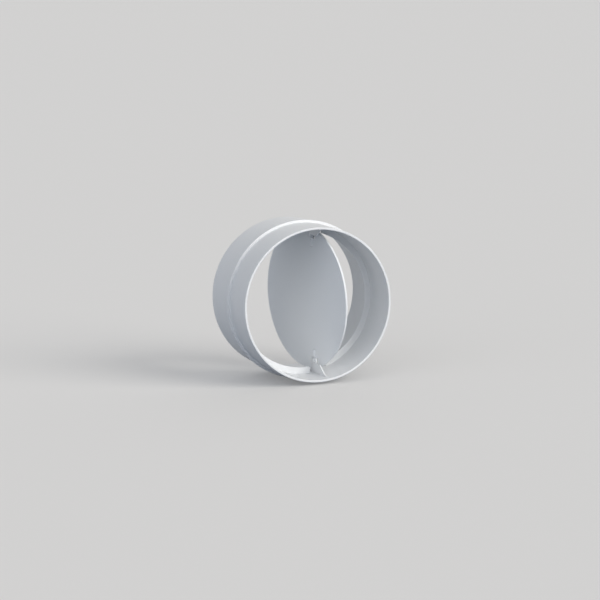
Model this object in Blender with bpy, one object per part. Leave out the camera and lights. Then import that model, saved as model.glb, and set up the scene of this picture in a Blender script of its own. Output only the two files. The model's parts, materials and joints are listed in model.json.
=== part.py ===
"""Round duct connector with a check valve: a white moulded spigot with a butterfly flap.

Metres, +Z up. The duct runs along Y, the front rim towards -Y. The origin is on the duct's
axis, in the middle plane of the stop bead. The flap turns about an upright axis in that
plane, to the right of the centre, and is modelled swung open, as it hangs in a flow of air.
"""

import math

import bmesh
import bpy
from mathutils import Matrix, Vector

# Duct: a plain spigot each side of a stop bead
SPIGOT_DIAMETER = 0.1000
WALL = 0.0015
FRONT_LENGTH = 0.0295
REAR_LENGTH = 0.0325
RIM_CHAMFER = 0.0003
BEAD_HEIGHT = 0.0017
BEAD_WIDTH = 0.0030
BEAD_CHAMFER = 0.0003

# Flap: a thin disc hung off its own centre, so that the larger half is blown open
FLAP_THICKNESS = 0.0015
FLAP_EDGE_CLEARANCE = 0.0018
FLAP_EDGE_CHAMFER = 0.0003
HINGE_OFFSET = 0.0082
REST_OPEN = math.radians(78)

# Seats: two half rings, the left one in front of the shut flap and the right one behind it
SEAT_HEIGHT = 0.0041
SEAT_WIDTH = 0.0016
SEAT_CHAMFER = 0.0003
SEAT_CLEARANCE = 0.0003
LEFT_SEAT_END = 0.0049
RIGHT_SEAT_END = 0.0080

# Hinge: pins on the flap, snapped from the front into a forked clip at the top and the bottom
PIN_DIAMETER = 0.0024
PIN_TIP_CHAMFER = 0.0004
PIN_CLEARANCE = 0.0001
PIN_END_CLEARANCE = 0.0012
BOSS_DIAMETER = 0.0034
BOSS_LENGTH = 0.0060
BOSS_TAPER = 0.0012
CHEEK_THICKNESS = 0.0011
CLIP_HEIGHT = 0.0083
CLIP_FRONT = 0.0016
WEB_THICKNESS = 0.0012
LIP_DEPTH = 0.0003
LIP_LENGTH = 0.0006
CLIP_TOP_CLEARANCE = 0.0004
NOTCH_CLEARANCE = 0.0005
NOTCH_CORNER = 0.0010

# Fin: a web that runs on forwards from the left cheek of each clip, and stops the opened flap
FIN_THICKNESS = 0.0009
FIN_STEP = 0.0021
FIN_TOP_REACH = 0.0135
FIN_TOP_HEIGHT = 0.0061
FIN_REACH = 0.0272

ROUND_STEPS = 120
CORNER_STEPS = 6
PIN_STEPS = 24

# Worked out from the sizes above
OUTER_RADIUS = SPIGOT_DIAMETER / 2
INNER_RADIUS = OUTER_RADIUS - WALL
BEAD_RADIUS = OUTER_RADIUS + BEAD_HEIGHT
FLAP_RADIUS = INNER_RADIUS - FLAP_EDGE_CLEARANCE
SEAT_RADIUS = INNER_RADIUS - SEAT_HEIGHT
SEAT_FACE = FLAP_THICKNESS / 2 + SEAT_CLEARANCE
PIN_RADIUS = PIN_DIAMETER / 2
SLOT_RADIUS = PIN_RADIUS + PIN_CLEARANCE
CHEEK_OUTSIDE = SLOT_RADIUS + CHEEK_THICKNESS
CLIP_BACK = SLOT_RADIUS + WEB_THICKNESS
WALL_AT_HINGE = math.sqrt(INNER_RADIUS**2 - HINGE_OFFSET**2)
CLIP_ROOT = math.sqrt((INNER_RADIUS + WALL / 2) ** 2 - HINGE_OFFSET**2)
FIN_MIDDLE = HINGE_OFFSET - SLOT_RADIUS - CHEEK_THICKNESS / 2
FIN_ROOT = math.sqrt((INNER_RADIUS + WALL / 3) ** 2 - FIN_MIDDLE**2)
CLIP_TOP = WALL_AT_HINGE - CLIP_HEIGHT
NOTCH_BOTTOM = CLIP_TOP - CLIP_TOP_CLEARANCE
NOTCH_HALF = math.hypot(CHEEK_OUTSIDE, max(CLIP_FRONT, CLIP_BACK)) + NOTCH_CLEARANCE
PIN_END = WALL_AT_HINGE - PIN_END_CLEARANCE
HINGE = Vector((HINGE_OFFSET, 0, 0))


def clear_scene():
    """Removes whatever the file opened with."""
    for thing in list(bpy.data.objects):
        bpy.data.objects.remove(thing, do_unlink=True)


def plastic(name, colour, roughness):
    """A plain moulded plastic."""
    material = bpy.data.materials.new(name)
    material.use_nodes = True
    shader = material.node_tree.nodes["Principled BSDF"]
    shader.inputs["Base Color"].default_value = (*colour, 1)
    shader.inputs["Roughness"].default_value = roughness
    shader.inputs["Metallic"].default_value = 0
    return material


def object_from(name, shape, material=None):
    """Puts a finished bmesh in the scene as one object, its faces turned outwards."""
    bmesh.ops.remove_doubles(shape, verts=shape.verts, dist=1e-7)
    bmesh.ops.recalc_face_normals(shape, faces=shape.faces)
    mesh = bpy.data.meshes.new(name)
    shape.to_mesh(mesh)
    shape.free()
    mesh.shade_smooth()
    mesh.set_sharp_from_angle(angle=math.radians(30))
    thing = bpy.data.objects.new(name, mesh)
    bpy.context.scene.collection.objects.link(thing)
    if material:
        mesh.materials.append(material)
    return thing


def unite(thing, others):
    """Joins the other shapes to this one, all in one Boolean, and leaves them as wire helpers."""
    helpers = bpy.data.collections.new(thing.name + " shapes")
    bpy.context.scene.collection.children.link(helpers)
    for other in others:
        bpy.context.scene.collection.objects.unlink(other)
        helpers.objects.link(other)
        other.hide_render = True
        other.display_type = "WIRE"
    modifier = thing.modifiers.new("join shapes", "BOOLEAN")
    modifier.operation = "UNION"
    modifier.solver = "EXACT"
    modifier.operand_type = "COLLECTION"
    modifier.collection = helpers


def revolved(profile, start=0.0, turn=2 * math.pi):
    """Turns a closed profile of (radius, y) points about the Y axis, from the angle start."""
    shape = bmesh.new()
    corners = [
        shape.verts.new((radius * math.cos(start), y, radius * math.sin(start)))
        for radius, y in profile
    ]
    face = shape.faces.new(corners)
    whole = turn >= 2 * math.pi
    steps = max(2, round(ROUND_STEPS * turn / (2 * math.pi)))
    bmesh.ops.spin(
        shape,
        geom=[face, *face.edges, *face.verts],
        axis=(0, -1, 0),
        cent=(0, 0, 0),
        angle=turn,
        steps=steps,
        use_merge=whole,
    )
    if whole:
        inside = [f for f in shape.faces if len(f.verts) == len(profile)]
        bmesh.ops.delete(shape, geom=inside, context="FACES_ONLY")
    return shape


def extruded(outline, along):
    """Pushes a closed outline of 3-D points along a vector."""
    shape = bmesh.new()
    face = shape.faces.new([shape.verts.new(point) for point in outline])
    grown = bmesh.ops.extrude_face_region(shape, geom=[face])
    moved = [part for part in grown["geom"] if isinstance(part, bmesh.types.BMVert)]
    bmesh.ops.translate(shape, verts=moved, vec=along)
    return shape


def arc(centre, radius, start, end, steps):
    """Points round a centre in a plane, from the angle start to the angle end."""
    points = []
    for step in range(steps + 1):
        angle = start + (end - start) * step / steps
        points.append(
            (
                centre[0] + radius * math.cos(angle),
                centre[1] + radius * math.sin(angle),
            )
        )
    return points


def rod(sections, steps):
    """A turned rod along Z, from a list of (z, radius) sections, closed at both ends."""
    shape = bmesh.new()
    rings = []
    for z, radius in sections:
        ring = [
            shape.verts.new((x, y, z))
            for x, y in arc((0, 0), radius, 0, 2 * math.pi, steps)[:-1]
        ]
        rings.append(ring)
    for low, high in zip(rings, rings[1:]):
        for step in range(steps):
            after = (step + 1) % steps
            shape.faces.new((low[step], low[after], high[after], high[step]))
    shape.faces.new(rings[0][::-1])
    shape.faces.new(rings[-1])
    return shape


def mirrored_in_z(shape):
    """The same shape upside down, for the other end of the hinge."""
    copy = shape.copy()
    bmesh.ops.transform(copy, matrix=Matrix.Scale(-1, 4, (0, 0, 1)), verts=copy.verts)
    return copy


def duct_profile():
    """The wall's section, from the front rim's inner corner round the outside and back."""
    shoulder = BEAD_WIDTH / 2
    crest = shoulder - BEAD_CHAMFER
    return [
        (INNER_RADIUS, -FRONT_LENGTH + RIM_CHAMFER),
        (INNER_RADIUS + RIM_CHAMFER, -FRONT_LENGTH),
        (OUTER_RADIUS - RIM_CHAMFER, -FRONT_LENGTH),
        (OUTER_RADIUS, -FRONT_LENGTH + RIM_CHAMFER),
        (OUTER_RADIUS, -shoulder),
        (BEAD_RADIUS - BEAD_CHAMFER, -shoulder),
        (BEAD_RADIUS, -crest),
        (BEAD_RADIUS, crest),
        (BEAD_RADIUS - BEAD_CHAMFER, shoulder),
        (OUTER_RADIUS, shoulder),
        (OUTER_RADIUS, REAR_LENGTH - RIM_CHAMFER),
        (OUTER_RADIUS - RIM_CHAMFER, REAR_LENGTH),
        (INNER_RADIUS + RIM_CHAMFER, REAR_LENGTH),
        (INNER_RADIUS, REAR_LENGTH - RIM_CHAMFER),
    ]


def seat(side, end_gap):
    """One half ring. side is -1 for the left seat, in front, and 1 for the right one, behind."""
    rooted = INNER_RADIUS + WALL / 2
    near = side * SEAT_FACE
    far = side * (SEAT_FACE + SEAT_WIDTH)
    profile = [
        (SEAT_RADIUS + SEAT_CHAMFER, near),
        (rooted, near),
        (rooted, far),
        (SEAT_RADIUS + SEAT_CHAMFER, far),
        (SEAT_RADIUS, far - side * SEAT_CHAMFER),
        (SEAT_RADIUS, near + side * SEAT_CHAMFER),
    ]
    end = math.acos((HINGE_OFFSET + side * end_gap) / INNER_RADIUS)
    if side > 0:
        return revolved(profile, start=-end, turn=2 * end)
    return revolved(profile, start=end, turn=2 * (math.pi - end))


def clip_fork():
    """The bottom clip's fork: two cheeks and the web behind the pin, with lips at the mouth."""
    lip_back = math.sqrt(SLOT_RADIUS**2 - (SLOT_RADIUS - LIP_DEPTH) ** 2)
    lip_front = lip_back + LIP_LENGTH
    slot = arc((0, 0), SLOT_RADIUS, 0, math.pi, 2 * CORNER_STEPS)
    outline = [
        (CHEEK_OUTSIDE, -CLIP_FRONT),
        (CHEEK_OUTSIDE, CLIP_BACK),
        (-CHEEK_OUTSIDE, CLIP_BACK),
        (-CHEEK_OUTSIDE, -CLIP_FRONT),
        (-SLOT_RADIUS, -CLIP_FRONT),
        (-SLOT_RADIUS + LIP_DEPTH, -lip_front),
        (-SLOT_RADIUS + LIP_DEPTH, -lip_back - LIP_DEPTH),
        (-SLOT_RADIUS, -lip_back),
        *reversed(slot),
        (SLOT_RADIUS, -lip_back),
        (SLOT_RADIUS - LIP_DEPTH, -lip_back - LIP_DEPTH),
        (SLOT_RADIUS - LIP_DEPTH, -lip_front),
        (SLOT_RADIUS, -CLIP_FRONT),
    ]
    points = [(HINGE_OFFSET + x, y, -CLIP_ROOT) for x, y in outline]
    return extruded(points, (0, 0, CLIP_ROOT - CLIP_TOP))


def clip_fin():
    """The fin in front of the left cheek, its front edge swept down to the wall."""
    foot = -math.sqrt(INNER_RADIUS**2 - FIN_MIDDLE**2)
    swept = FIN_REACH - FIN_TOP_REACH
    edge = [
        (-FIN_REACH + swept * share, foot + FIN_TOP_HEIGHT * share**2)
        for share in (step / (2 * CORNER_STEPS) for step in range(2 * CORNER_STEPS + 1))
    ]
    back = -CLIP_FRONT + FIN_THICKNESS
    outline = [
        (back, -CLIP_TOP - FIN_STEP),
        (back, -FIN_ROOT),
        (-FIN_REACH, -FIN_ROOT),
        *edge,
        (-CLIP_FRONT, -CLIP_TOP - FIN_STEP),
    ]
    points = [(FIN_MIDDLE - FIN_THICKNESS / 2, y, z) for y, z in outline]
    return extruded(points, (FIN_THICKNESS, 0, 0))


def make_body(material):
    """The duct, with its bead, seats, clips and fins, as one moulding."""
    body = object_from("duct_body", revolved(duct_profile()), material)
    features = [
        object_from("left_seat_shape", seat(-1, LEFT_SEAT_END)),
        object_from("right_seat_shape", seat(1, RIGHT_SEAT_END)),
    ]
    for name, shape in (("clip_fork", clip_fork()), ("clip_fin", clip_fin())):
        features.append(object_from("top_" + name, mirrored_in_z(shape)))
        features.append(object_from("bottom_" + name, shape))
    unite(body, features)
    return body


def flap_outline():
    """The disc's outline round the hinge axis, with a notch at each end for a clip."""
    centre = (-HINGE_OFFSET, 0)
    right = math.acos((NOTCH_HALF + HINGE_OFFSET) / FLAP_RADIUS)
    left = math.acos((HINGE_OFFSET - NOTCH_HALF) / FLAP_RADIUS)
    right_steps = round(ROUND_STEPS * right / math.pi)
    left_steps = round(ROUND_STEPS * (math.pi - left) / math.pi)
    inner = NOTCH_HALF - NOTCH_CORNER
    level = NOTCH_BOTTOM + NOTCH_CORNER
    quarter = math.pi / 2
    return [
        *arc(centre, FLAP_RADIUS, -right, right, right_steps),
        *arc((inner, level), NOTCH_CORNER, 0, -quarter, CORNER_STEPS),
        *arc((-inner, level), NOTCH_CORNER, -quarter, -2 * quarter, CORNER_STEPS),
        *arc(centre, FLAP_RADIUS, left, 2 * math.pi - left, left_steps),
        *arc((-inner, -level), NOTCH_CORNER, 2 * quarter, quarter, CORNER_STEPS),
        *arc((inner, -level), NOTCH_CORNER, quarter, 0, CORNER_STEPS),
    ]


def flap_disc():
    """The disc, its edges broken all round."""
    half = FLAP_THICKNESS / 2
    points = [(x, -half, z) for x, z in flap_outline()]
    shape = extruded(points, (0, FLAP_THICKNESS, 0))
    rims = [edge for edge in shape.edges if abs(edge.verts[0].co.y - edge.verts[1].co.y) < 1e-9]
    bmesh.ops.bevel(
        shape,
        geom=rims,
        offset=FLAP_EDGE_CHAMFER,
        offset_type="OFFSET",
        segments=1,
        profile=0.5,
        affect="EDGES",
    )
    return shape


def flap_pin():
    """The upper pin and the boss that carries it down into the disc."""
    boss_top = NOTCH_BOTTOM - FLAP_EDGE_CHAMFER
    boss_foot = NOTCH_BOTTOM - BOSS_LENGTH
    return rod(
        [
            (boss_foot, FLAP_THICKNESS / 2 - FLAP_EDGE_CHAMFER),
            (boss_foot + BOSS_TAPER, BOSS_DIAMETER / 2),
            (boss_top, BOSS_DIAMETER / 2),
            (boss_top + FLAP_EDGE_CHAMFER / 2, PIN_RADIUS),
            (PIN_END - PIN_TIP_CHAMFER, PIN_RADIUS),
            (PIN_END, PIN_RADIUS - PIN_TIP_CHAMFER),
        ],
        PIN_STEPS,
    )


def make_flap(material):
    """The flap with its two pins, one moulding, its origin on the hinge axis."""
    flap = object_from("flap", flap_disc(), material)
    upper = object_from("upper_pin_shape", flap_pin())
    lower = object_from("lower_pin_shape", mirrored_in_z(flap_pin()))
    unite(flap, [upper, lower])
    for thing in (flap, upper, lower):
        thing.location = HINGE
        thing.rotation_euler = (0, 0, -REST_OPEN)
    return flap


def main():
    clear_scene()
    make_body(plastic("duct plastic", (0.80, 0.82, 0.83), 0.35))
    make_flap(plastic("flap plastic", (0.80, 0.82, 0.84), 0.32))


if __name__ == "__main__":
    main()
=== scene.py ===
"""Finish, stage and camera for a white moulded duct connector with a butterfly check flap."""

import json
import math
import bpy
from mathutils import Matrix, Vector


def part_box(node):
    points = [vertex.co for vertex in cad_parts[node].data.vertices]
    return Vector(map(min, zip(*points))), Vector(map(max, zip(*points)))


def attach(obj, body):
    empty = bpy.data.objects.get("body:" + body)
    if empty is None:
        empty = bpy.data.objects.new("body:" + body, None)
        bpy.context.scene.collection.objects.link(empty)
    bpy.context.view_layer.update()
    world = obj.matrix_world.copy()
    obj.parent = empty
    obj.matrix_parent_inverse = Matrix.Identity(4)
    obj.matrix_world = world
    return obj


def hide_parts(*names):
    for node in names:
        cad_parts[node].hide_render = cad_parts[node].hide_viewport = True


bl_info = {
    "name": "Duct connector with check flap",
    "version": (1, 0, 0),
    "blender": (4, 5, 0),
    "location": "3D View > Sidebar > Duct",
    "description": "Dresses the duct connector and its check flap, and lights them",
    "category": "Object",
}

import bmesh
import bpy
import numpy as np
from bpy.props import FloatProperty, FloatVectorProperty, IntProperty, PointerProperty
from mathutils import Matrix, Vector

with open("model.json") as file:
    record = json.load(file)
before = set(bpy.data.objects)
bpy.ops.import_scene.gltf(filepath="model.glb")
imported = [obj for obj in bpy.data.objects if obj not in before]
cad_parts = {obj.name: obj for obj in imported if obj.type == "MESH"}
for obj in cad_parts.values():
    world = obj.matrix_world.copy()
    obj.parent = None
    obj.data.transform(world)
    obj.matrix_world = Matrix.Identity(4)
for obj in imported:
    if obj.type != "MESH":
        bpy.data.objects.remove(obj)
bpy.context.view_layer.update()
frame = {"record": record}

DUCT = "duct"
FLAP = "check_flap"
PICTURE_WIDTH = 600
SENSOR_WIDTH = 36.0
QUARTER = math.pi / 2
WHOLE = 2 * math.pi
RIGHT = 1
LEFT = -1
SHARP_ANGLE = math.radians(35)
ANGLE_DIGITS = 6
# Half the width of the floor, in metres
FLOOR_HALF = 30.0
# How far the rounding turns where the boss tapers, and at the pin's tip
TAPER_TURN = 0.6 * QUARTER
TIP_TURN = 0.85 * QUARTER

# Facets along each kind of rounding
EDGE_STEPS = 4
SMALL_STEPS = 3
SLOT_STEPS = 16
NOTCH_STEPS = 8
TIP_STEPS = 5
PIN_STEPS = 40
# Sections along the fin's straight top, and along its sweep down to the wall
FIN_TOP_POINTS = 6
FIN_STEPS = 16

# Rings of points between the bead and a rim, as shares of the way
BELTS = (0.3, 0.6)
# Extra points over a seat's eased end, as shares of its run
SEAT_EASE = np.linspace(-0.6, 0.6, 9)
# The most that a rounded top edge takes of the fin's height
FIN_EDGE_SHARE = 0.3

# Noise scales of the plastic's skin, per metre, and the stretch that draws its ripple out into rings
RIPPLE_SCALE = 90.0
GRAIN_SCALE = 2600.0
RIPPLE_STRETCH = (0.3, 2.4, 0.3)


def joint_named(name):
    """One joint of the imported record."""
    return next(joint for joint in frame["record"]["behaviour"]["joints"] if joint["name"] == name)


HINGE_JOINT = joint_named("flap_hinge")
HINGE = Vector(HINGE_JOINT["pos_m"])
REST_OPEN = math.radians(HINGE_JOINT["range_deg"][1])
DUCT_LOW, DUCT_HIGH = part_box("duct_body")
BEAD_RADIUS = DUCT_HIGH[0]
FRONT_RIM = DUCT_LOW[1]
REAR_RIM = DUCT_HIGH[1]


def length(name, description, default):
    """A size that a user may change."""
    return FloatProperty(name=name, description=description, default=default, min=0.0, unit="LENGTH")


def colour(name, description, default):
    """A colour, or a light's colour and strength in one."""
    return FloatVectorProperty(
        name=name, description=description, default=default, subtype="COLOR", size=3, min=0.0, soft_max=1.0
    )


def turn(name, description, degrees):
    """An angle, given in degrees and kept in radians."""
    return FloatProperty(
        name=name, description=description, default=math.radians(degrees), subtype="ANGLE"
    )


class DuctSizes(bpy.types.PropertyGroup):
    """Sizes of the duct moulding."""

    wall: length("Wall", "Thickness of the duct's wall", 0.0015)
    rim_round: length("Rim rounding", "Radius along the edges of both rims", 0.00035)
    bead_height: length("Bead height", "How far the stop bead stands out", 0.0017)
    bead_width: length("Bead width", "Width of the stop bead", 0.0030)
    bead_round: length("Bead rounding", "Radius along the bead's crest", 0.00035)
    seat_height: length("Seat height", "How far each half ring stands in", 0.0041)
    seat_width: length("Seat width", "Width of each half ring", 0.0016)
    seat_face: length("Seat face", "Distance of each seat from the hinge plane", 0.00105)
    seat_round: length("Seat rounding", "Radius along the seats' inner edges", 0.0003)
    left_end: length("Left seat end", "Gap from the hinge axis to the left seat", 0.0049)
    right_end: length("Right seat end", "Gap from the hinge axis to the right seat", 0.0080)
    fillet: length("Fillet", "Radius where a feature meets the wall", 0.0004)
    steps: IntProperty(name="Steps", description="Facets round the duct", default=360, min=60)


class ClipSizes(bpy.types.PropertyGroup):
    """Sizes of the forked clips and their fins."""

    slot_radius: length("Slot radius", "Half the width of the pin's slot", 0.0013)
    cheek: length("Cheek", "Thickness of each cheek", 0.0011)
    web: length("Web", "Thickness of the web behind the pin", 0.0012)
    front: length("Front", "How far the cheeks reach forwards of the pin", 0.0016)
    height: length("Height", "Height of the clip above the wall", 0.0083)
    lip_depth: length("Lip depth", "How far each lip stands into the slot", 0.0003)
    lip_length: length("Lip length", "Length of each lip along the slot", 0.0006)
    edge_round: length("Edge rounding", "Radius along the clip's top edges", 0.0002)
    fin: length("Fin", "Thickness of the fin", 0.0009)
    fin_step: length("Fin step", "How far the fin starts below the cheek's top", 0.0021)
    fin_top_reach: length("Fin top", "How far the fin's top runs forwards", 0.0135)
    fin_top_height: length("Fin height", "Height of the fin where its top ends", 0.0061)
    fin_reach: length("Fin reach", "How far forwards the fin meets the wall", 0.0272)


class FlapSizes(bpy.types.PropertyGroup):
    """Sizes of the flap and its pins."""

    thickness: length("Thickness", "Thickness of the disc", 0.0015)
    edge_clearance: length("Edge clearance", "Gap from the disc's edge to the wall", 0.0018)
    edge_round: length("Edge rounding", "Radius along the disc's edges", 0.0004)
    notch_clearance: length("Notch clearance", "Gap from the notch to the turning clip", 0.0005)
    notch_round: length("Notch rounding", "Radius in the notch's corners", 0.0010)
    top_clearance: length("Top clearance", "Gap from the notch to the clip's top", 0.0004)
    pin_radius: length("Pin radius", "Radius of each stub pin", 0.0012)
    pin_end: length("Pin end", "Gap from the pin's end to the wall", 0.0012)
    boss_radius: length("Boss radius", "Radius of the boss at the pin's root", 0.0017)
    boss_length: length("Boss length", "How far the boss runs into the disc", 0.0060)
    boss_taper: length("Boss taper", "Length of the boss's tapered foot", 0.0012)
    boss_round: length("Boss rounding", "Radius where the taper meets the boss", 0.0004)
    boss_lip: length("Boss lip", "Radius along the boss's top edge", 0.00015)


class PlasticLook(bpy.types.PropertyGroup):
    """Finish of the white plastic."""

    duct_colour: colour("Duct colour", "Base colour of the duct's plastic", (0.77, 0.78, 0.79))
    # Painted light: the flap's plastic is set a little lighter than the duct's, to stand in for the extra
    # light that falls on the flap
    flap_colour_painted_lighter: colour("Flap colour", "Base colour of the flap's plastic", (0.80, 0.815, 0.83))
    flow_tint: colour("Flow tint", "How the faint flow streaks tint it", (0.955, 0.962, 0.968))
    roughness: FloatProperty(
        name="Roughness", description="Roughness of the skin", default=0.36, min=0.0, max=1.0
    )
    patchiness: FloatProperty(
        name="Patchiness", description="How much the roughness varies", default=0.06, min=0.0
    )
    ripple: length("Ripple", "Depth of the moulded skin's slow ripple", 0.00006)
    grain: length("Grain", "Depth of the tool's fine grain", 0.00001)


class StudioSetting(bpy.types.PropertyGroup):
    """Camera and light."""

    azimuth: turn("Azimuth", "How far the camera stands to the left of the duct's axis", 21.015)
    elevation: turn("Elevation", "How far the camera looks down", 8.436)
    roll: turn("Roll", "How far the duct is rolled on its side in the picture", 1.7)
    distance: length("Distance", "Camera to the front rim's centre", 1.81736)
    aim_right: length("Aim right", "Front rim's centre, right of the picture's centre", 0.011856)
    aim_down: length("Aim down", "Front rim's centre, below the picture's centre", 0.00336)
    focal_pixels: FloatProperty(
        name="Focal length", description="Focal length in pixels of the picture", default=2850.0
    )
    key_azimuth: turn("Key azimuth", "Direction of the key, from the front to the right", 33.0)
    key_elevation: turn("Key elevation", "Height of the key", 24.0)
    key_softness: turn("Key softness", "How wide the key looks from the duct", 38.0)
    sheen_softness: turn("Sheen softness", "How wide the key looks in the gloss", 85.0)
    key_strength: FloatProperty(
        name="Key strength", description="1 shows white paper that faces the key as white", default=0.73
    )
    key_colour: colour("Key colour", "Colour of the key", (1.0, 0.97, 0.92))
    surround: colour("Surround", "Light from all round", (0.155, 0.158, 0.164))
    fill_azimuth: turn("Fill azimuth", "Direction of the broad fill", -18.0)
    fill: colour("Fill", "Light of the broad fill", (1.10, 1.13, 1.18))
    side_azimuth: turn("Side azimuth", "Direction of the side light", -80.0)
    side: colour("Side", "Light from the side", (0.74, 0.77, 0.82))
    back_azimuth: turn("Back azimuth", "Direction of the light from behind", 150.0)
    back: colour("Back", "Light from behind", (1.0, 1.02, 1.05))
    bounce: colour("Bounce", "Floor colour that the duct's underside receives", (0.13, 0.17, 0.23))
    paper: colour("Floor", "Colour of the floor", (0.592, 0.584, 0.574))
    paper_glow: FloatProperty(
        name="Floor lift", description="How far the floor's shadows are lifted", default=0.165
    )
    backdrop: colour("Backdrop", "Colour past the floor's end", (0.64, 0.64, 0.64))


class DuctScene(bpy.types.PropertyGroup):
    """Everything that the panel shows."""

    duct: PointerProperty(type=DuctSizes)
    clip: PointerProperty(type=ClipSizes)
    flap: PointerProperty(type=FlapSizes)
    plastic: PointerProperty(type=PlasticLook)
    studio: PointerProperty(type=StudioSetting)


def panel_values(context):
    """The panel's values, with the few sizes that follow from them and from the frame."""
    values = context.scene.duct_scene
    outer = BEAD_RADIUS - values.duct.bead_height
    inner = outer - values.duct.wall
    clip_top = math.sqrt(inner**2 - HINGE.x**2) - values.clip.height
    return values, outer, inner, clip_top


# Mesh helpers


def arc(centre, radius, start, end, steps=EDGE_STEPS):
    """Points round a centre in a plane, from the angle start to the angle end."""
    angles = np.linspace(start, end, steps + 1)
    return [(centre[0] + radius * math.cos(a), centre[1] + radius * math.sin(a)) for a in angles]


def grid(points, round_rows, round_columns):
    """A bmesh of quads over rows and columns of points, either of which may close on itself."""
    shape = bmesh.new()
    rows = [[shape.verts.new(point) for point in row] for row in points]
    row_count = len(rows) if round_rows else len(rows) - 1
    column_count = len(rows[0]) if round_columns else len(rows[0]) - 1
    for i in range(row_count):
        low = rows[i]
        high = rows[(i + 1) % len(rows)]
        for j in range(column_count):
            after = (j + 1) % len(low)
            shape.faces.new((low[j], low[after], high[after], high[j]))
    return shape, rows


def loft(rings):
    """A closed bmesh through rings of points, with a flat cap at each end."""
    shape, rows = grid(rings, False, True)
    shape.faces.new(rows[0][::-1])
    shape.faces.new(rows[-1])
    return shape


def offset_outline(outline, distance):
    """A closed outline pushed outwards by a distance, its corners kept sharp."""
    points = np.array(outline, float)
    ahead = np.roll(points, -1, axis=0) - points
    ahead /= np.linalg.norm(ahead, axis=1)[:, None]
    normals = np.stack([ahead[:, 1], -ahead[:, 0]], axis=1)
    before = np.roll(normals, 1, axis=0)
    mitre = normals + before
    mitre /= (1 + (normals * before).sum(axis=1))[:, None]
    return points + mitre * distance


def object_from(shape, name):
    """Puts a bmesh in the scene, its faces turned outwards."""
    bmesh.ops.remove_doubles(shape, verts=shape.verts, dist=1e-7)
    bmesh.ops.recalc_face_normals(shape, faces=shape.faces)
    mesh = bpy.data.meshes.new(name)
    shape.to_mesh(mesh)
    shape.free()
    mesh.shade_smooth()
    thing = bpy.data.objects.new(name, mesh)
    bpy.context.scene.collection.objects.link(thing)
    return thing


def united(name, shapes):
    """One object out of several closed shapes, joined for good, with flat faces shaded flat."""
    things = [object_from(shape, f"{name}_{number}") for number, shape in enumerate(shapes)]
    whole = things[0]
    others = bpy.data.collections.new(name + " shapes")
    bpy.context.scene.collection.children.link(others)
    for thing in things[1:]:
        bpy.context.scene.collection.objects.unlink(thing)
        others.objects.link(thing)
    join = whole.modifiers.new("join", "BOOLEAN")
    join.operation = "UNION"
    join.solver = "EXACT"
    join.operand_type = "COLLECTION"
    join.collection = others
    graph = bpy.context.evaluated_depsgraph_get()
    mesh = bpy.data.meshes.new_from_object(whole.evaluated_get(graph))
    for thing in things:
        bpy.data.objects.remove(thing, do_unlink=True)
    bpy.data.collections.remove(others)
    mesh.name = name
    mesh.shade_smooth()
    mesh.set_sharp_from_angle(angle=SHARP_ANGLE)
    piece = bpy.data.objects.new(name, mesh)
    bpy.context.scene.collection.objects.link(piece)
    evened = piece.modifiers.new("even normals", "WEIGHTED_NORMAL")
    evened.mode = "FACE_AREA"
    evened.keep_sharp = True
    return piece


def upside_down(shape):
    """The same shape mirrored in the level plane, for the other end of the hinge."""
    copy = shape.copy()
    bmesh.ops.transform(copy, matrix=Matrix.Scale(-1, 4, (0, 0, 1)), verts=copy.verts)
    return copy


# Duct moulding


def wall_outside(duct, outer, inner):
    """The wall's section round the outside, from the front rim's inner edge to the rear one's."""
    rim = duct.rim_round
    crest = duct.bead_round
    fillet = duct.fillet
    shoulder = duct.bead_width / 2
    bead = outer + duct.bead_height
    return [
        *arc((inner + rim, FRONT_RIM + rim), rim, 2 * QUARTER, 3 * QUARTER),
        *arc((outer - rim, FRONT_RIM + rim), rim, 3 * QUARTER, 4 * QUARTER),
        *[(outer, FRONT_RIM * share) for share in reversed(BELTS)],
        *arc((outer + fillet, -shoulder - fillet), fillet, 2 * QUARTER, QUARTER),
        *arc((bead - crest, -shoulder + crest), crest, 3 * QUARTER, 4 * QUARTER),
        *arc((bead - crest, shoulder - crest), crest, 0, QUARTER),
        *arc((outer + fillet, shoulder + fillet), fillet, 3 * QUARTER, 2 * QUARTER),
        *[(outer, REAR_RIM * share) for share in BELTS],
        *arc((outer - rim, REAR_RIM - rim), rim, 0, QUARTER),
        *arc((inner + rim, REAR_RIM - rim), rim, QUARTER, 2 * QUARTER),
    ]


def seat_section(duct, side):
    """One seat's section as (depth into the bore, y), from the rear to the front."""
    near = side * duct.seat_face
    far = side * (duct.seat_face + duct.seat_width)
    rear, front = max(near, far), min(near, far)
    fillet = duct.fillet
    edge = duct.seat_round
    tall = duct.seat_height
    return [
        *arc((fillet, rear + fillet), fillet, 2 * QUARTER, 3 * QUARTER, SMALL_STEPS),
        *arc((tall - edge, rear - edge), edge, QUARTER, 0, SMALL_STEPS),
        *arc((tall - edge, front + edge), edge, 0, -QUARTER, SMALL_STEPS),
        *arc((fillet, front - fillet), fillet, QUARTER, 2 * QUARTER, SMALL_STEPS),
    ]


def seat_share(angle, end, side, run):
    """How much of the seat stands at an angle round the bore, easing off over its rounded end."""
    # The angle is folded onto the upper half, because both halves are alike
    folded = abs(math.remainder(angle, WHOLE))
    inside = (end - folded) * side
    share = min(1.0, max(0.0, 0.5 + inside / run))
    return share * share * (3 - 2 * share)


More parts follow.
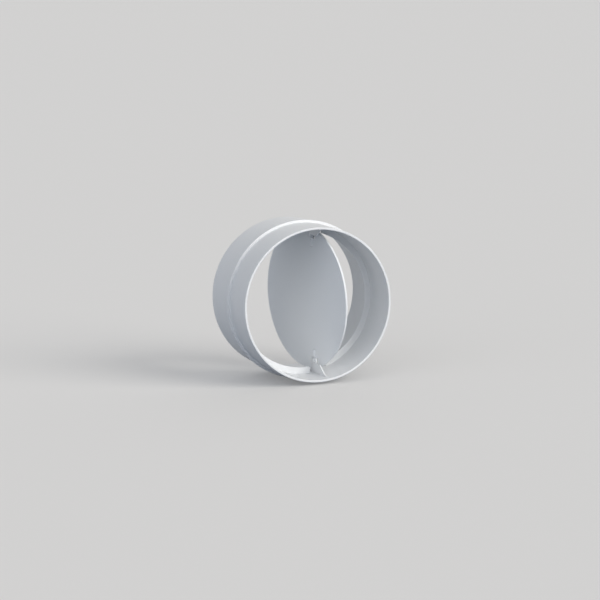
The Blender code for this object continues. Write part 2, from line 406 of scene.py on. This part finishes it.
def duct_wall(duct, outer, inner):
    """The duct's wall with its bead and both seats, as one closed skin."""
    gaps = {RIGHT: duct.right_end, LEFT: duct.left_end}
    ends = {side: math.acos((HINGE.x + side * gap) / inner) for side, gap in gaps.items()}
    run = 2 * duct.fillet / inner
    eased = SEAT_EASE * run
    whole_turn = range(duct.steps)
    angles = {round(WHOLE * step / duct.steps - math.pi, ANGLE_DIGITS) for step in whole_turn}
    for end in ends.values():
        near = {angle for angle in angles if abs(abs(angle) - end) < run}
        angles -= near
        angles |= {sign * round(end + ease, ANGLE_DIGITS) for ease in eased for sign in (-1, 1)}
    outside = wall_outside(duct, outer, inner)
    rows = []
    for angle in sorted(angles):
        section = outside + [(inner, REAR_RIM * share) for share in reversed(BELTS)]
        for side, end in ends.items():
            share = seat_share(angle, end, side, run)
            section += [(inner - share * deep, y) for deep, y in seat_section(duct, side)]
        section += [(inner, FRONT_RIM * share) for share in BELTS]
        rows.append([(r * math.cos(angle), y, r * math.sin(angle)) for r, y in section])
    shape, _ = grid(rows, True, True)
    return shape


def clip_outline(clip):
    """The fork's outline round the pin: two cheeks, the web behind it, and the lips."""
    slot = clip.slot_radius
    outside = slot + clip.cheek
    lip = slot - clip.lip_depth
    lip_back = math.sqrt(slot**2 - lip**2)
    lip_front = lip_back + clip.lip_length
    right = [
        (slot, -lip_back),
        (lip, -lip_back - clip.lip_depth),
        (lip, -lip_front),
        (slot, -clip.front),
        (outside, -clip.front),
        (outside, slot + clip.web),
    ]
    left = [(-x, y) for x, y in reversed(right)]
    return [*right, *left, *arc((0, 0), slot, 2 * QUARTER, 0, SLOT_STEPS)]


def clip_fork(duct, clip, inner, clip_top):
    """The bottom clip's fork, with a fillet at its root and a rounded top."""
    outline = clip_outline(clip)
    depth = duct.wall / 2
    fillet = duct.fillet
    edge = clip.edge_round
    levels = [(fillet, -depth)]
    levels += [(fillet - x, z) for x, z in arc((0, fillet), fillet, -QUARTER, 0)]
    rings = []
    for grow, rise in levels:
        ring = offset_outline(outline, grow)
        x = ring[:, 0] + HINGE.x
        rings.append(np.stack([x, ring[:, 1], -np.sqrt(inner**2 - x**2) + rise], axis=1))
    for grow, rise in [(x - edge, z) for x, z in arc((0, -edge), edge, 0, QUARTER)]:
        ring = offset_outline(outline, grow)
        x = ring[:, 0] + HINGE.x
        rings.append(np.stack([x, ring[:, 1], np.full(len(x), rise - clip_top)], axis=1))
    return loft([ring.tolist() for ring in rings])


def fin_height(clip, clip_height, forwards):
    """The fin's height above the wall, so far forwards of the hinge."""
    start = clip_height - clip.fin_step
    if forwards < clip.fin_top_reach:
        share = (forwards - clip.front) / (clip.fin_top_reach - clip.front)
        return start + (clip.fin_top_height - start) * max(0.0, share)
    share = (clip.fin_reach - forwards) / (clip.fin_reach - clip.fin_top_reach)
    return clip.fin_top_height * share**2


def clip_fin(duct, clip, inner):
    """The bottom fin, in sections from inside the cheek to where it runs out on the wall."""
    middle = HINGE.x - clip.slot_radius - clip.cheek / 2
    foot = -math.sqrt(inner**2 - middle**2)
    half = clip.fin / 2
    swept = clip.fin_reach - clip.fin_top_reach
    places = [clip.front - half, *np.linspace(clip.front, clip.fin_top_reach, FIN_TOP_POINTS)]
    places += [clip.fin_top_reach + swept * step / FIN_STEPS for step in range(1, FIN_STEPS)]
    sections = []
    for forwards in places:
        tall = fin_height(clip, clip.height, forwards)
        fillet = min(duct.fillet, tall / 2)
        edge = min(clip.edge_round, FIN_EDGE_SHARE * tall)
        right = [
            (half + fillet, -duct.wall / 2),
            *arc((half + fillet, fillet), fillet, -QUARTER, -2 * QUARTER),
            *arc((half - edge, tall - edge), edge, 0, QUARTER),
        ]
        outline = right + [(-x, z) for x, z in reversed(right)]
        sections.append([(middle + x, -forwards, foot + z) for x, z in outline])
    return loft(sections)


# Flap moulding


def flap_outline(flap, clip, radius, notch_bottom):
    """The disc's outline round the hinge axis, with a notch at each end for a clip."""
    reach = max(clip.front, clip.slot_radius + clip.web)
    notch = math.hypot(clip.slot_radius + clip.cheek, reach) + flap.notch_clearance
    corner = flap.notch_round
    edge = flap.edge_round
    centre = (-HINGE.x, 0)
    right = math.acos((notch + HINGE.x) / radius)
    left = math.acos((HINGE.x - notch) / radius)
    inner = notch - corner
    level = notch_bottom + corner
    above = level + 3 * edge
    # One facet for each degree of the disc's edge
    right_steps = round(math.degrees(right))
    left_steps = round(math.degrees(math.pi - left))
    upper = [
        *arc(centre, radius, 0, right, right_steps),
        (notch, above),
        *arc((inner, level), corner, 0, -QUARTER, NOTCH_STEPS),
        *arc((-inner, level), corner, -QUARTER, -2 * QUARTER, NOTCH_STEPS),
        (-notch, above),
        *arc(centre, radius, left, math.pi, left_steps),
    ]
    return upper + [(x, -z) for x, z in reversed(upper[1:-1])]


def flap_disc(flap, outline):
    """The disc, its edge rounded all the way round."""
    half = flap.thickness / 2
    edge = flap.edge_round
    levels = [(x - edge, y) for x, y in arc((0, edge - half), edge, -QUARTER, 0)]
    levels += [(x - edge, y) for x, y in arc((0, half - edge), edge, 0, QUARTER)]
    rings = []
    for grow, y in levels:
        ring = offset_outline(outline, grow)
        rings.append([(x, y, z) for x, z in ring.tolist()])
    return loft(rings)


def flap_pin(flap, inner, notch_bottom):
    """The upper pin with its boss, turned about the hinge axis."""
    end = math.sqrt(inner**2 - HINGE.x**2) - flap.pin_end
    foot = notch_bottom - flap.boss_length
    top = notch_bottom - flap.edge_round
    tip = flap.pin_radius / 3
    taper = foot + flap.boss_taper
    soft = flap.boss_round
    lip = flap.boss_lip
    sections = [
        (flap.thickness / 2 - flap.edge_round, foot),
        *arc((flap.boss_radius - soft, taper), soft, -TAPER_TURN, 0),
        *arc((flap.boss_radius - lip, top - lip), lip, 0, QUARTER, SMALL_STEPS),
        (flap.pin_radius, top + 2 * lip / 3),
        *arc((flap.pin_radius - tip, end - tip), tip, 0, TIP_TURN, TIP_STEPS),
    ]
    rings = []
    for radius, z in sections:
        rings.append([(x, y, z) for x, y in arc((0, 0), radius, 0, WHOLE, PIN_STEPS)[:-1]])
    return loft(rings)


# Shader maths


class Flow:
    """One socket of a shader tree, so that maths on it reads as Python."""

    def __init__(self, tree, socket):
        self.tree = tree
        self.socket = socket

    def node(self, kind, settings=None, inputs=None, output=0):
        """Adds any node: its settings first, then the values or links of its sockets."""
        made = self.tree.nodes.new(kind)
        for name, value in (settings or {}).items():
            setattr(made, name, value)
        for name, value in (inputs or {}).items():
            if isinstance(value, Flow):
                self.tree.links.new(value.socket, made.inputs[name])
            else:
                made.inputs[name].default_value = value
        return Flow(self.tree, made.outputs[output])

    def other(self, name):
        """Another output of the same node."""
        return Flow(self.tree, self.socket.node.outputs[name])

    def maths(self, operation, value, reflected=False):
        """A Math node on this value and another, in that order unless reflected."""
        pair = {0: value, 1: self} if reflected else {0: self, 1: value}
        return self.node("ShaderNodeMath", {"operation": operation}, pair)

    def __add__(self, value):
        return self.maths("ADD", value)

    def __radd__(self, value):
        return self.maths("ADD", value, True)

    def __sub__(self, value):
        return self.maths("SUBTRACT", value)

    def __rsub__(self, value):
        return self.maths("SUBTRACT", value, True)

    def __mul__(self, value):
        return self.maths("MULTIPLY", value)

    def __rmul__(self, value):
        return self.maths("MULTIPLY", value, True)

    def along(self, direction):
        """How much of this vector lies along a direction."""
        return self.node(
            "ShaderNodeVectorMath", {"operation": "DOT_PRODUCT"}, {0: self, 1: direction}, "Value"
        )

    def tinted(self, colour, base):
        """This value times a colour, added to a base colour."""
        return self.node(
            "ShaderNodeVectorMath", {"operation": "MULTIPLY_ADD"}, {0: self, 1: colour, 2: base}
        )

    def mixed(self, first, second):
        """Two colours, mixed by this value."""
        return self.node(
            "ShaderNodeMix",
            {"data_type": "RGBA"},
            {"Factor": self, "A": first, "B": second},
            "Result",
        )


# Materials


def new_material(name):
    """An empty material with its output, ready for a shader."""
    material = bpy.data.materials.new(name)
    material.use_nodes = True
    tree = material.node_tree
    tree.nodes.clear()
    output = tree.nodes.new("ShaderNodeOutputMaterial")
    return material, tree, output


def moulded_plastic(name, look, base, flow_scale):
    """White moulded plastic: faint flow streaks, a slow ripple and a fine grain in the skin."""
    material, tree, output = new_material(name)
    start = Flow(tree, None)
    place = start.node("ShaderNodeTexCoord", output="Object")
    ringed = start.node(
        "ShaderNodeVectorMath", {"operation": "MULTIPLY"}, {0: place, 1: RIPPLE_STRETCH}
    )
    streaks = start.node(
        "ShaderNodeTexNoise",
        {"noise_dimensions": "3D"},
        {"Vector": place, "Scale": flow_scale, "Detail": 3.0, "Roughness": 0.45, "Distortion": 0.6},
    )
    ripple = start.node(
        "ShaderNodeTexNoise",
        {"noise_dimensions": "3D"},
        {"Vector": ringed, "Scale": RIPPLE_SCALE, "Detail": 1.0, "Roughness": 0.4},
    )
    grain = start.node(
        "ShaderNodeTexNoise",
        {"noise_dimensions": "3D"},
        {"Vector": place, "Scale": GRAIN_SCALE, "Detail": 2.0, "Roughness": 0.6},
    )
    deep = [part * tint for part, tint in zip(base, look.flow_tint)]
    flowed = streaks.mixed((*base, 1), (*deep, 1))
    roughness = look.roughness + look.patchiness * (streaks - 0.5)
    height = look.ripple * ripple + look.grain * grain
    skin = start.node("ShaderNodeBump", {}, {"Height": height, "Distance": 1.0, "Strength": 1.0})
    shader = start.node(
        "ShaderNodeBsdfPrincipled",
        {},
        {
            "Base Color": flowed,
            "Roughness": roughness,
            "Normal": skin,
            "IOR": 1.5,
            "Specular IOR Level": 0.3,
            "Subsurface Weight": 0.06,
            "Subsurface Radius": (1.0, 0.95, 0.9),
            "Subsurface Scale": 0.001,
        },
    )
    tree.links.new(shader.socket, output.inputs["Surface"])
    return material


# Pieces


class MakeDuct(bpy.types.Operator):
    """Makes the duct moulding with its bead, seats, clips and fins"""

    bl_idname = "duct.make_duct"
    bl_label = "Make the duct moulding"

    def execute(self, context):
        values, outer, inner, clip_top = panel_values(context)
        fork = clip_fork(values.duct, values.clip, inner, clip_top)
        fin = clip_fin(values.duct, values.clip, inner)
        shapes = [duct_wall(values.duct, outer, inner)]
        shapes += [upside_down(fork), upside_down(fin), fork, fin]
        piece = united("duct_moulding", shapes)
        look = values.plastic
        white = moulded_plastic("duct white", look, look.duct_colour, flow_scale=14.0)
        piece.data.materials.append(white)
        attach(piece, DUCT)
        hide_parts("duct_body")
        return {"FINISHED"}


class MakeFlap(bpy.types.Operator):
    """Makes the flap moulding with its stub pins, and swings it open"""

    bl_idname = "duct.make_flap"
    bl_label = "Make the flap moulding"

    def execute(self, context):
        values, _, inner, clip_top = panel_values(context)
        flap = values.flap
        notch_bottom = clip_top - flap.top_clearance
        outline = flap_outline(flap, values.clip, inner - flap.edge_clearance, notch_bottom)
        pin = flap_pin(flap, inner, notch_bottom)
        piece = united("flap_moulding", [flap_disc(flap, outline), upside_down(pin), pin])
        swing = Matrix.Translation(HINGE) @ Matrix.Rotation(-REST_OPEN, 4, "Z")
        piece.data.transform(swing)
        look = values.plastic
        # The flap's colour carries painted light: it is a little lighter than the duct's
        white = moulded_plastic("flap white", look, look.flap_colour_painted_lighter, flow_scale=9.0)
        piece.data.materials.append(white)
        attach(piece, FLAP)
        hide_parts("flap")
        return {"FINISHED"}


# Stage


def add_camera(studio):
    """The camera, where the picture was taken from."""
    upright = Matrix.Rotation(studio.roll, 3, "Y")
    across, level = studio.azimuth, studio.elevation
    right = upright @ Vector((math.cos(across), -math.sin(across), 0))
    ahead = upright @ Vector(
        (math.sin(across) * math.cos(level), math.cos(across) * math.cos(level), -math.sin(level))
    )
    up = right.cross(ahead)
    place = Vector((0, FRONT_RIM, 0)) - ahead * studio.distance
    place += up * studio.aim_down - right * studio.aim_right
    data = bpy.data.cameras.new("camera")
    data.sensor_width = SENSOR_WIDTH
    data.lens = studio.focal_pixels * SENSOR_WIDTH / PICTURE_WIDTH
    data.clip_start = 0.05
    data.clip_end = 20.0
    camera = bpy.data.objects.new("camera", data)
    turned = Matrix((right, up, -ahead)).transposed().to_4x4()
    camera.matrix_world = Matrix.Translation(place) @ turned
    bpy.context.scene.collection.objects.link(camera)
    bpy.context.scene.camera = camera


def towards(azimuth, elevation):
    """A level or raised direction, its azimuth measured from the front towards the right."""
    level = math.cos(elevation)
    return Vector((math.sin(azimuth) * level, -math.cos(azimuth) * level, math.sin(elevation)))


def add_key(studio):
    """A soft key from so far away that it lights the floor evenly, and its wider sheen in the gloss."""
    for name, width in (("key", studio.key_softness), ("sheen", studio.sheen_softness)):
        data = bpy.data.lights.new(name, "SUN")
        data.angle = width
        data.energy = math.pi * studio.key_strength
        data.color = studio.key_colour
        lamp = bpy.data.objects.new(name, data)
        lamp.visible_diffuse = name == "key"
        lamp.visible_glossy = name == "sheen"
        lamp.location = towards(studio.key_azimuth, studio.key_elevation)
        lamp.rotation_euler = lamp.location.to_track_quat("Z", "Y").to_euler()
        bpy.context.scene.collection.objects.link(lamp)


def seen_directly(start):
    """1 for rays from the camera and for what gloss and clear matter show, 0 for soft light."""
    path = start.node("ShaderNodeLightPath", output="Is Camera Ray")
    return path + path.other("Is Glossy Ray") + path.other("Is Transmission Ray")


def add_floor(studio):
    """A plain pale floor that runs on past the horizon."""
    shape = bmesh.new()
    corners = [(-1, -1), (1, -1), (1, 1), (-1, 1)]
    shape.faces.new(
        [shape.verts.new((x * FLOOR_HALF, y * FLOOR_HALF, DUCT_LOW[2])) for x, y in corners]
    )
    floor = object_from(shape, "floor")
    material, tree, output = new_material("floor paper")
    start = Flow(tree, None)
    paper = start.node("ShaderNodeBsdfDiffuse", {}, {"Color": (*studio.paper, 1)})
    glow = start.node("ShaderNodeEmission", {}, {"Color": (1, 1, 1, 1), "Strength": studio.paper_glow})
    bounce = start.node("ShaderNodeBsdfDiffuse", {}, {"Color": (*studio.bounce, 1)})
    shown = start.node("ShaderNodeAddShader", {}, {0: paper, 1: glow})
    shader = start.node("ShaderNodeMixShader", {}, {0: seen_directly(start), 1: bounce, 2: shown})
    tree.links.new(shader.socket, output.inputs["Surface"])
    floor.data.materials.append(material)


def light_world(studio):
    """A cool surround, brightest from the front left, and as pale as the floor where it shows."""
    world = bpy.data.worlds.new("studio")
    world.use_nodes = True
    bpy.context.scene.world = world
    tree = world.node_tree
    tree.nodes.clear()
    output = tree.nodes.new("ShaderNodeOutputWorld")
    start = Flow(tree, None)
    direction = start.node("ShaderNodeTexCoord", output="Generated")
    light = studio.surround
    for azimuth, shade in (
        (studio.fill_azimuth, studio.fill),
        (studio.side_azimuth, studio.side),
        (studio.back_azimuth, studio.back),
    ):
        facing = direction.along(towards(azimuth, 0)).maths("MAXIMUM", 0.0)
        light = (facing * facing).tinted(shade, light)
    soft = start.node("ShaderNodeBackground", {}, {"Color": light})
    shown = start.node("ShaderNodeBackground", {}, {"Color": (*studio.backdrop, 1)})
    shader = start.node("ShaderNodeMixShader", {}, {0: seen_directly(start), 1: soft, 2: shown})
    tree.links.new(shader.socket, output.inputs["Surface"])


class MakeStage(bpy.types.Operator):
    """Sets the floor, the lights and the camera"""

    bl_idname = "duct.make_stage"
    bl_label = "Set the stage"

    def execute(self, context):
        studio = context.scene.duct_scene.studio
        add_floor(studio)
        add_key(studio)
        light_world(studio)
        add_camera(studio)
        context.scene.view_settings.view_transform = "Standard"
        return {"FINISHED"}


# Panel


class DuctPanel(bpy.types.Panel):
    """Sizes, finish and stage of the duct connector"""

    bl_idname = "VIEW3D_PT_duct"
    bl_label = "Duct connector"
    bl_space_type = "VIEW_3D"
    bl_region_type = "UI"
    bl_category = "Duct"

    def draw(self, context):
        values = context.scene.duct_scene
        for group in (values.duct, values.clip, values.flap, values.plastic, values.studio):
            box = self.layout.box()
            box.label(text=group.bl_rna.description)
            for name in group.bl_rna.properties.keys():
                if name not in {"rna_type", "name"}:
                    box.prop(group, name)
        for operator in OPERATORS:
            self.layout.operator(operator.bl_idname)


GROUPS = (DuctSizes, ClipSizes, FlapSizes, PlasticLook, StudioSetting, DuctScene)
OPERATORS = (MakeDuct, MakeFlap, MakeStage)
CLASSES = (*GROUPS, *OPERATORS, DuctPanel)


def register():
    """Adds the classes and the panel's values."""
    for each in CLASSES:
        bpy.utils.register_class(each)
    bpy.types.Scene.duct_scene = PointerProperty(type=DuctScene)


def unregister():
    """Takes them away again."""
    del bpy.types.Scene.duct_scene
    for each in reversed(CLASSES):
        bpy.utils.unregister_class(each)


def main():
    """Makes every piece and the stage."""
    register()
    bpy.ops.duct.make_duct()
    bpy.ops.duct.make_flap()
    bpy.ops.duct.make_stage()


if __name__ == "__main__":
    main()
